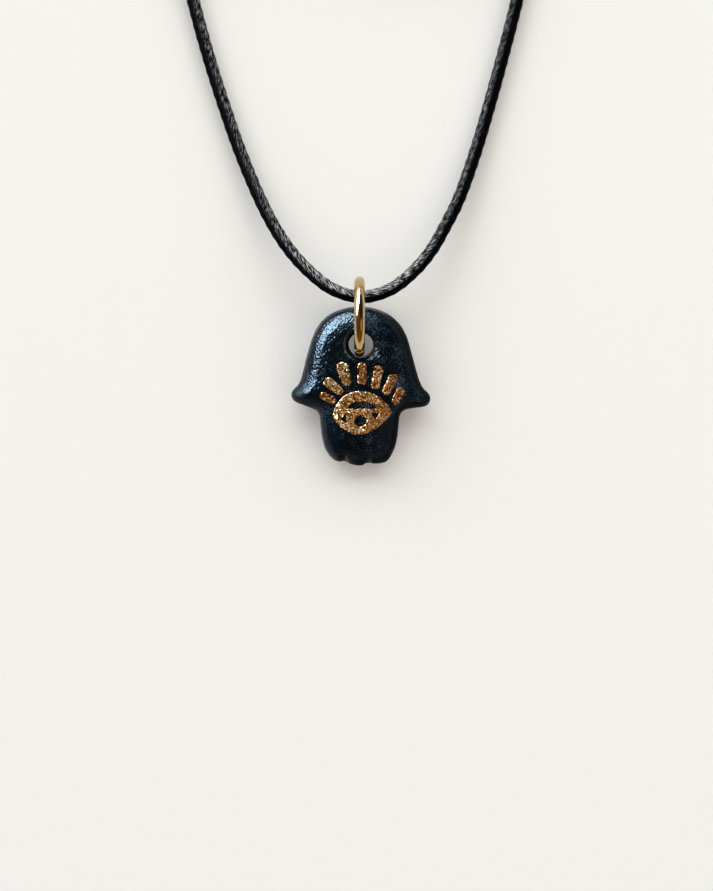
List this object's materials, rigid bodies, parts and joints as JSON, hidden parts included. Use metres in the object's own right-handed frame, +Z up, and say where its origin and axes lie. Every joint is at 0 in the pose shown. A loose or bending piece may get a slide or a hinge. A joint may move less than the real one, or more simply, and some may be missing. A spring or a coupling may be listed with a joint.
{
  "type": "hamsa charm necklace",
  "caption": "Glazed ceramic hamsa hand with a gold eye and lashes, hung by a jump ring on a waxed cord necklace with a sprung clasp, its spare cord coiled and tied.",
  "frame": {"origin": "on the table under the middle of the box that holds the ceramic hand and its jump ring", "axes": "+Z up, towards the viewer of the hand's face; +Y from the finger tips to the jump ring; +X to the right of the face"},
  "size_m": [0.0458, 0.0945, 0.009],
  "materials": {
    "black_glaze": "glossy bluish black glaze with a fine pebbled skin",
    "gold_lustre": "fired gold lustre, grainy and sparkling",
    "polished_gold": "polished gold plate on brass wire",
    "waxed_cord": "black braided cotton, waxed",
    "tie_strip": "narrow black woven strip",
    "spring_steel": "plain spring strip"
  },
  "bodies": {
    "cord": {"cord_necklace": "waxed_cord", "cord_coil": "waxed_cord", "cord_tail": "waxed_cord", "coil_tie_far": "tie_strip", "coil_tie_near": "tie_strip", "cord_end_left": "polished_gold", "cord_end_right": "polished_gold"},
    "ring": {"jump_ring": "polished_gold"},
    "charm": {"charm_body": "black_glaze", "gold_eye": "gold_lustre", "gold_lash_1": "gold_lustre", "gold_lash_2": "gold_lustre", "gold_lash_3": "gold_lustre", "gold_lash_4": "gold_lustre", "gold_lash_5": "gold_lustre", "gold_lash_6": "gold_lustre", "gold_lash_7": "gold_lustre"},
    "link": {"link_ring": "polished_gold"},
    "clasp": {"clasp_body": "polished_gold", "clasp_rivet": "polished_gold", "clasp_spring": "spring_steel"},
    "lever": {"clasp_lever": "polished_gold"},
    "catch": {"catch_ring": "polished_gold"}
  },
  "joints": [
    {"name": "ring_swing", "type": "hinge", "parent": "cord", "child": "ring", "pos_m": [-0.00014, 0.0083, 0.00375], "axis": [-1, 0, 0], "range_deg": [0, 110]},
    {"name": "charm_swing", "type": "hinge", "parent": "ring", "child": "charm", "pos_m": [-0.00014, 0.00249, 0.00296], "axis": [0, -0.1052, 0.9945], "range_deg": [-25, 25]},
    {"name": "link_swing", "type": "hinge", "parent": "cord", "child": "link", "pos_m": [-0.02, 0.05645, 0.00145], "axis": [0, 0, 1], "range_deg": [-40, 40]},
    {"name": "clasp_swing", "type": "hinge", "parent": "link", "child": "clasp", "pos_m": [-0.02, 0.0602, 0.00145], "axis": [0, 0, 1], "range_deg": [-40, 40]},
    {"name": "lever_press", "type": "hinge", "parent": "clasp", "child": "lever", "pos_m": [-0.01865, 0.0635, 0.00145], "axis": [0, 0, 1], "range_deg": [0, 18], "stiffness_Nm_per_rad": 0.002, "springref_deg": -11.46},
    {"name": "catch_swing", "type": "hinge", "parent": "cord", "child": "catch", "pos_m": [0.01995, 0.07845, 0.00145], "axis": [1, 0, 0], "range_deg": [0, 150]}
  ]
}
